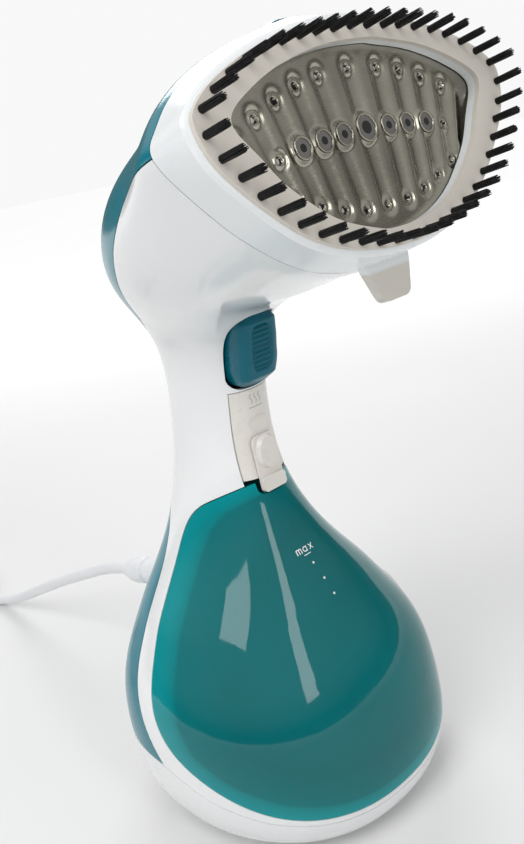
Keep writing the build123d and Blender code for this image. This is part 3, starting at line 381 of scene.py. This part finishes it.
def plate_height(x, v):
    """Depth of the pressed steel below the face (mm, negative is in): broad flutes that fan out, with a raised rim round each hole."""
    h = 0.0
    for n, (ax, av, bx, bv) in enumerate(flutes):
        dx, dv = bx - ax, bv - av
        L = math.hypot(dx, dv)
        s = max(0.0, min(1.0, ((x - ax) * dx + (v - av) * dv) / (L * L)))
        d = math.hypot(x - ax - dx * s, v - av - dv * s)
        half = 3.75 + 0.85 * s
        if d < half:
            h = min(h, -1.0 * (math.cos(math.pi * d / half) * 0.5 + 0.5) ** 0.9)
    for hx, hv in plain:
        d = math.hypot(x - hx, v - hv)
        if d < 3.0:
            seat = -0.75
            k = 1 - smooth(1.6, 3.0, d)
            h = h * (1 - k) + seat * k
            h += 0.42 * smooth(0.9, 1.35, d) * (1 - smooth(1.35, 2.1, d))
            h -= 1.3 * (1 - smooth(0.7, 1.1, d))
    for hx, hv, hr in eyelets:
        d = math.hypot(x - hx, v - hv)
        k = 1 - smooth(hr + 0.3, hr + 1.9, d)
        h = h * (1 - k) + 0.25 * k
    return max(h, -2.6)


verts, faces_, index = [], [], {}
step = 0.4
nx, nv = int(116 / step), int(60 / step)
inside = {}
for i in range(-nx // 2, nx // 2 + 1):
    for j in range(-int(31 / step), int(27 / step) + 1):
        x, v = i * step, j * step
        inside[(i, j)] = True
# outline test: angle sweep gives the limit in v for each x
lim = {}
for q in range(0, 3601):
    a = -math.pi + 2 * math.pi * q / 3600
    ox, ov = front_outline(a, 5.6)
    key = round(ox / step)
    lo_v, hi_v = lim.get(key, (9e9, -9e9))
    lim[key] = (min(lo_v, ov), max(hi_v, ov))
for (i, j) in list(inside):
    x, v = i * step, j * step
    if i in lim and lim[i][0] - 1e-6 <= v <= lim[i][1] + 1e-6:
        h = plate_height(x, v)
        index[(i, j)] = len(verts)
        verts.append(face(x, v, h - 0.02))
for (i, j), k in list(index.items()):
    c = [(i, j), (i + 1, j), (i + 1, j + 1), (i, j + 1)]
    if all(q in index for q in c):
        faces_.append([index[q] for q in c])
plate = mesh_object("steam_plate_pressed", verts, faces_, ["polished_steel", "dark_hole"], "housing", replaces=("steam_plate",))
# painted shade: polygons over each plain hole take the near-black hole material
for p in plate.data.polygons:
    q = p.center / MM - face_c
    x, v = q.x, q.dot(upv)
    if any(math.hypot(x - hx, v - hv) < 0.95 for hx, hv in plain):
        p.material_index = 1
sol = plate.modifiers.new("thickness", "SOLIDIFY")
sol.thickness = 0.0006
sol.offset = -1

# rolled rims of the eyelets, and a near-black plug in each bore as painted shade
verts, faces_ = [], []


def lathe(cx_, cv_, profile, n=28):
    base = len(verts)
    for r, d in profile:
        for k in range(n):
            a = 2 * math.pi * k / n
            verts.append(face(cx_ + r * math.cos(a), cv_ + r * math.sin(a), d))
    for q in range(len(profile) - 1):
        for k in range(n):
            a, b2 = base + q * n + k, base + q * n + (k + 1) % n
            faces_.append([a, b2, b2 + n, a + n])


for ex, ev, er in eyelets:
    R = er + 0.45
    lathe(ex, ev, [(R + 0.42 * math.cos(math.radians(t_)), 0.32 + 0.42 * math.sin(math.radians(t_))) for t_ in range(-30, 391, 30)])
mesh_object("eyelet_rims", verts, faces_, "polished_steel", "housing")
verts, faces_ = [], []
for ex, ev, er in eyelets:
    rad = 1.75 if er > 3 else 1.08
    base = len(verts)
    for d in (0.35, -0.3):
        for k in range(20):
            verts.append(face(ex + rad * math.cos(k * math.pi / 10), ev + rad * math.sin(k * math.pi / 10), d))
    faces_.append([base + k for k in range(20)])
    faces_.append([base + 20 + k for k in reversed(range(20))])
    for k in range(20):
        a, b2 = base + k, base + (k + 1) % 20
        faces_.append([b2, a, a + 20, b2 + 20])
mesh_object("eyelet_bores", verts, faces_, "dark_hole", "housing", smooth=False)

# ------------------------------------------------------------------ bristle bundles
half_tufts = [(6.5, 24.6), (13.1, 24.2), (19.2, 23.7), (25.6, 22.8), (32.5, 21.6), (38.5, 19.8), (44.9, 17.2), (50.9, 14.0), (56.0, 10.2), (57.2, 4.5), (54.9, -1.2),
              (51.1, -6.1), (47.3, -11.1), (42.9, -15.6), (37.9, -19.7), (32.3, -23.3), (26.1, -26.0), (19.6, -27.9), (13.4, -29.4), (6.7, -30.2)]
tufts = [(0, 24.8), (0, -30.5)] + half_tufts + [(-x, v) for x, v in half_tufts]
rng = random.Random(7)
verts, faces_ = [], []


def filament(x0, v0, x1, v1, d0, d1, r0, r1, n=5):
    base = len(verts)
    for q in range(4):
        s = q / 3
        r = (r0, r0, r0 * 0.95, r1)[q]
        for k in range(n):
            a = 2 * math.pi * k / n
            verts.append(face(x0 + (x1 - x0) * s ** 1.4 + r * math.cos(a), v0 + (v1 - v0) * s ** 1.4 + r * math.sin(a), d0 + (d1 - d0) * s))
    for q in range(3):
        for k in range(n):
            a, b2 = base + q * n + k, base + q * n + (k + 1) % n
            faces_.append([a, b2, b2 + n, a + n])
    faces_.append([base + 3 * n + k for k in range(n)])
    faces_.append([base + k for k in reversed(range(n))])


for tx, tv in tufts:
    ring = [(0.0, 0.0)] + [(0.42 * math.cos(q * math.pi / 3), 0.42 * math.sin(q * math.pi / 3)) for q in range(6)] + \
           [(0.80 * math.cos(q * math.pi / 6 + 0.2), 0.80 * math.sin(q * math.pi / 6 + 0.2)) for q in range(12)]
    for ox, ov in ring:
        ox += rng.uniform(-0.05, 0.05)
        ov += rng.uniform(-0.05, 0.05)
        grow = 1.12 + rng.uniform(-0.1, 0.1)
        filament(tx + ox, tv + ov, tx + ox * grow + rng.uniform(-.07, .07), tv + ov * grow + rng.uniform(-.07, .07), 3.6, 13.15 - rng.uniform(0.0, 0.6) - 0.3 * math.hypot(ox, ov), 0.25, 0.15)
mesh_object("bristle_bundles", verts, faces_, "bristle_black", "brush", replaces=("bristle_tufts",))


# ------------------------------------------------------------------ trigger: a rolled button with a sunk, ribbed thumb pad
verts, faces_ = [], []
side = [(162.5, -18.6), (165.5, -22.0), (172.0, -23.6), (180.0, -24.8), (184.6, -25.2), (186.9, -23.4)]


def front_y(z):
    for (za, ya), (zb, yb) in zip(side, side[1:]):
        if z <= zb:
            return ya + (yb - ya) * smooth(za, zb, z) * 0.5 + (yb - ya) * 0.5 * (z - za) / (zb - za)
    return side[-1][1]


rows = [162.5 + 24.4 * (0.5 - 0.5 * math.cos(math.pi * i / 110)) * 0.35 + 24.4 * (i / 110) * 0.65 for i in range(111)]
cols = 64
for z in rows:
    lo_, hi_ = z - 162.5, 186.9 - z
    W = 8.5
    if lo_ < 7.0:
        W -= 3.6 * (1 - math.sqrt(max(0.0, 1 - (1 - lo_ / 7.0) ** 2)))
    if hi_ < 3.6:
        W -= 2.6 * (1 - math.sqrt(max(0.0, 1 - (1 - hi_ / 3.6) ** 2)))
    ring = [(-W, -10.0)]
    for k in range(cols + 1):
        a = -math.pi / 2 + math.pi * k / cols
        x = W * (abs(math.sin(a)) ** 0.62) * (1 if a > 0 else -1)
        y = front_y(z) + 4.6 * (1 - max(0.0, math.cos(a)) ** 0.5) * 1.0
        # thumb pad, sunk with a rounded outline, and its ribs
        px, pz = abs(x) / 4.7, abs(z - 175.6) / 8.4
        e = (px ** 4 + pz ** 4) ** 0.25
        sunk = 1 - smooth(0.86, 1.02, e)
        y += 0.95 * sunk
        if e < 0.9 and pz < 0.84:
            y -= 0.75 * (1 - smooth(0.70, 0.86, px)) * max(0.0, math.cos(2 * math.pi * (z - 175.6) / 1.72)) ** 0.8
        ring.append((x, y))
    ring.append((W, -10.0))
    for x, y in ring:
        verts.append(Vector((x, y, z)) * MM)
m_ = cols + 3
for i in range(len(rows) - 1):
    for k in range(m_):
        a, b2 = i * m_ + k, i * m_ + (k + 1) % m_
        faces_.append([a, b2, b2 + m_, a + m_])
faces_.append([k for k in reversed(range(m_))])
faces_.append([(len(rows) - 1) * m_ + k for k in range(m_)])
mesh_object("trigger_button", verts, faces_, "trigger_teal", "trigger", replaces=("trigger",))

# ------------------------------------------------------------------ filler cap: a low rolled rim, a shallow finger dish and its stem
verts, faces_ = [], []
pn = Vector((0.88, -0.262, 0.395)).normalized()
pu = Vector((-0.395, 0, 0.88)).normalized()
pv = pn.cross(pu)
profile = [(0.0, -0.15), (2.0, -0.12), (3.6, 0.10), (4.6, 0.42), (6.2, 0.70), (7.2, 0.62), (7.8, 0.28), (8.0, -0.25), (7.8, -0.85), (7.2, -1.0), (5.9, -1.0), (5.8, -1.6), (5.8, -4.1), (5.4, -4.5), (0.0, -4.5)]
n_ = 48
for r_, h_ in profile:
    for k in range(n_):
        a_ = 2 * math.pi * k / n_
        q = Vector((52.4, -18.0, 58.0)) + (pu * math.cos(a_) + pv * math.sin(a_)) * r_ + pn * h_
        verts.append(q * MM)
for q in range(len(profile) - 1):
    for k in range(n_):
        a, b2 = q * n_ + k, q * n_ + (k + 1) % n_
        faces_.append([a, a + n_, b2 + n_, b2])
cap = mesh_object("filler_cap", verts, faces_, "silicone", "fill_plug", replaces=("fill_plug",))
bm = bmesh.new()
bm.from_mesh(cap.data)
bmesh.ops.remove_doubles(bm, verts=bm.verts, dist=1e-6)
bmesh.ops.recalc_face_normals(bm, faces=bm.faces)
bm.to_mesh(cap.data)
bm.free()

# ------------------------------------------------------------------ prints, laid on the surface below
def bvh(node):
    o = N[node]
    return BVHTree.FromPolygons([v.co.copy() for v in o.data.vertices], [list(p.vertices) for p in o.data.polygons])


def printed(name, polys, node, origin, u, v, n, mat, body, lift=0.06):
    """Flat outlines in (u, v) millimetres about origin, projected along -n onto the node's surface; each is a thin closed chip."""
    tree = bvh(node)
    u, v, n = Vector(u).normalized(), Vector(v).normalized(), Vector(n).normalized()
    vs, fs = [], []
    for poly, tris in polys:
        base = len(vs)
        pts = []
        for a, b2 in poly:
            start = (Vector(origin) + u * a + v * b2 + n * 12) * MM
            hit = tree.ray_cast(start, -n, 0.03)
            p = hit[0] if hit[0] is not None else (Vector(origin) + u * a + v * b2) * MM
            pts.append(p)
        for p in pts:
            vs.append(p + n * lift * MM)
        for p in pts:
            vs.append(p - n * 0.05 * MM)
        k = len(pts)
        for t in tris:
            fs.append([base + q for q in t])
            fs.append([base + k + q for q in reversed(t)])
        edges = {}
        for t in tris:
            for a, b2 in zip(t, list(t[1:]) + [t[0]]):
                edges[(a, b2)] = edges.get((a, b2), 0) + 1
        for (a, b2) in edges:
            if (b2, a) not in edges:
                fs.append([base + b2, base + a, base + k + a, base + k + b2])
    return mesh_object(name, vs, fs, mat, body, smooth=False)


def stroke(pts, w):
    """A ribbon of width w along the points, as quads."""
    out = []
    dense = []
    for (x0, y0), (x1, y1) in zip(pts, pts[1:]):
        L = math.hypot(x1 - x0, y1 - y0)
        k = max(1, int(L / 0.25))
        for q in range(k):
            dense.append((x0 + (x1 - x0) * q / k, y0 + (y1 - y0) * q / k))
    dense.append(pts[-1])
    left, right = [], []
    for i, p in enumerate(dense):
        a, b2 = dense[max(0, i - 1)], dense[min(len(dense) - 1, i + 1)]
        dx, dy = b2[0] - a[0], b2[1] - a[1]
        L = math.hypot(dx, dy) or 1
        left.append((p[0] - dy / L * w / 2, p[1] + dx / L * w / 2))
        right.append((p[0] + dy / L * w / 2, p[1] - dx / L * w / 2))
    poly = left + right
    k = len(left)
    tris = [[i, k + i, k + i + 1, i + 1] for i in range(k - 1)]
    return poly, tris


def arc(cx_, cy_, r, a0, a1, k=14):
    return [(cx_ + r * math.cos(math.radians(a0 + (a1 - a0) * i / k)), cy_ + r * math.sin(math.radians(a0 + (a1 - a0) * i / k))) for i in range(k + 1)]


def disc(cx_, cy_, r, k=16):
    poly = [(cx_, cy_)] + [(cx_ + r * math.cos(2 * math.pi * i / k), cy_ + r * math.sin(2 * math.pi * i / k)) for i in range(k)]
    return poly, [[0, 1 + i, 1 + (i + 1) % k] for i in range(k)]


w = 0.34
glyphs = []
# m
glyphs += [stroke([(-3.9, 0), (-3.9, 2.0)], w), stroke([(-3.9, 1.5)] + arc(-3.35, 1.45, 0.5, 180, 0, 8) + [(-2.85, 0)], w), stroke([(-2.85, 1.5)] + arc(-2.3, 1.45, 0.5, 180, 0, 8) + [(-1.8, 0)], w)]
# a
glyphs += [stroke(arc(0.0, 1.0, 0.85, 0, 360, 18), w), stroke([(0.85, 0), (0.85, 2.0)], w)]
# x
glyphs += [stroke([(2.1, 0), (3.7, 2.0)], w), stroke([(3.7, 0), (2.1, 2.0)], w)]
# level line under the word
glyphs += [stroke([(-1.6, -1.0), (1.6, -1.0)], 0.28)]
slope_n = Vector((0, -18.0, 10.9)).normalized()
slope_v = Vector((0, 10.9, 18.0)).normalized()
printed("level_mark", glyphs, "water_tank", (0, -28.6, 100.0), (1, 0, 0), slope_v, slope_n, "print_white", "tank")
printed("level_dots", [disc(0, 0, 0.45), disc(0.9, -6.6, 0.45), disc(1.4, -13.0, 0.45)], "water_tank", (0.4, -31.2, 96.2), (1, 0, 0), slope_v, slope_n, "print_white", "tank")
# steam symbol on the strip: three small waves over a bar
waves = []
for dx in (-1.9, 0, 1.9):
    waves.append(stroke([(dx + 0.45 * math.sin(2 * math.pi * q / 10), -1.6 + 0.36 * q) for q in range(11)], 0.32))
waves.append(stroke([(-3.0, -2.9), (3.0, -2.9)], 0.36))
printed("steam_symbol", waves, "switch_panel", (0, -15.6, 156.6), (1, 0, 0), (0, 0.03, 1), (0, -1, 0.03), "print_grey", "housing")

# ------------------------------------------------------------------ floor and light
floor_m, nt, bsdf, co = new_material("floor")
a = noise(nt, co, 3, 4)
r = ramp(nt, a, [(0.3, (0.70, 0.70, 0.70)), (0.7, (0.73, 0.73, 0.73))])
nt.links.new(r.outputs["Color"], bsdf.inputs["Base Color"])
bsdf.inputs["Roughness"].default_value = 0.8
# painted light: the floor glows, faintly near the object and more with distance, so it reads darker around the object
bsdf.inputs["Emission Color"].default_value = (1, 1, 1, 1)
ln = nt.nodes.new("ShaderNodeVectorMath")
ln.operation = "LENGTH"
nt.links.new(co.outputs["Object"], ln.inputs[0])
floor_painted_glow = nt.nodes.new("ShaderNodeMapRange")
floor_painted_glow.interpolation_type = "SMOOTHSTEP"
floor_painted_glow.inputs["From Min"].default_value, floor_painted_glow.inputs["From Max"].default_value = 0.35, 1.5
floor_painted_glow.inputs["To Min"].default_value, floor_painted_glow.inputs["To Max"].default_value = 0.03, 0.55
nt.links.new(ln.outputs["Value"], floor_painted_glow.inputs["Value"])
nt.links.new(floor_painted_glow.outputs["Result"], bsdf.inputs["Emission Strength"])
me = bpy.data.meshes.new("floor")
S = 4.0
vs, fs = [(-S, -S, 0), (S, -S, 0), (S, S, 0), (-S, S, 0)], [[0, 1, 2, 3]]
me.from_pydata(vs, [], fs)
floor = bpy.data.objects.new("floor", me)
scene.collection.objects.link(floor)
me.materials.append(floor_m)

world = bpy.data.worlds.new("studio")
scene.world = world
world.use_nodes = True
wt = world.node_tree
bg = wt.nodes["Background"]
bg.inputs["Strength"].default_value = 0.62
wc = wt.nodes.new("ShaderNodeTexCoord")
sep = wt.nodes.new("ShaderNodeSeparateXYZ")
wt.links.new(wc.outputs["Generated"], sep.inputs["Vector"])
wr = wt.nodes.new("ShaderNodeValToRGB")
mapr = wt.nodes.new("ShaderNodeMapRange")
mapr.inputs["From Min"].default_value = -1
mapr.inputs["From Max"].default_value = 1
wt.links.new(sep.outputs["Z"], mapr.inputs["Value"])
wt.links.new(mapr.outputs["Result"], wr.inputs["Fac"])
we = wr.color_ramp.elements
we[0].position, we[0].color = 0.0, (0.55, 0.54, 0.52, 1)
we[1].position, we[1].color = 1.0, (1.0, 1.0, 1.0, 1)
for p, c in ((0.47, (0.30, 0.29, 0.26)), (0.55, (0.16, 0.155, 0.14)), (0.62, (0.62, 0.62, 0.60)), (0.72, (1.0, 1.0, 1.0))):
    e = we.new(p)
    e.color = (*c, 1)
wt.links.new(wr.outputs["Color"], bg.inputs["Color"])
bg2 = wt.nodes.new("ShaderNodeBackground")
bg2.inputs["Color"].default_value = (0.94, 0.94, 0.945, 1)
bg2.inputs["Strength"].default_value = 1.0
lp = wt.nodes.new("ShaderNodeLightPath")
mixw = wt.nodes.new("ShaderNodeMixShader")
wt.links.new(lp.outputs["Is Camera Ray"], mixw.inputs["Fac"])
wt.links.new(bg.outputs["Background"], mixw.inputs[1])
wt.links.new(bg2.outputs["Background"], mixw.inputs[2])
wt.links.new(mixw.outputs["Shader"], wt.nodes["World Output"].inputs["Surface"])


def area(name, loc, target, size, size_y, power, color=(1, 1, 1)):
    d = bpy.data.lights.new(name, "AREA")
    d.shape = "RECTANGLE"
    d.size, d.size_y, d.energy, d.color = size, size_y, power, color
    o = bpy.data.objects.new(name, d)
    scene.collection.objects.link(o)
    o.location = loc
    o.rotation_mode = "QUATERNION"
    o.rotation_quaternion = (Vector(target) - Vector(loc)).to_track_quat("-Z", "Y")


area("key", (-0.75, -0.15, 1.05), (0, -0.03, 0.14), 0.6, 0.8, 7)
area("window", (-0.15, -1.0, 0.62), (0, -0.03, 0.12), 0.20, 0.5, 1.6)
area("back", (0.6, 0.7, 0.8), (0, 0, 0.16), 0.7, 0.5, 5)

scene.view_settings.view_transform = "Standard"
scene.view_settings.look = "None"
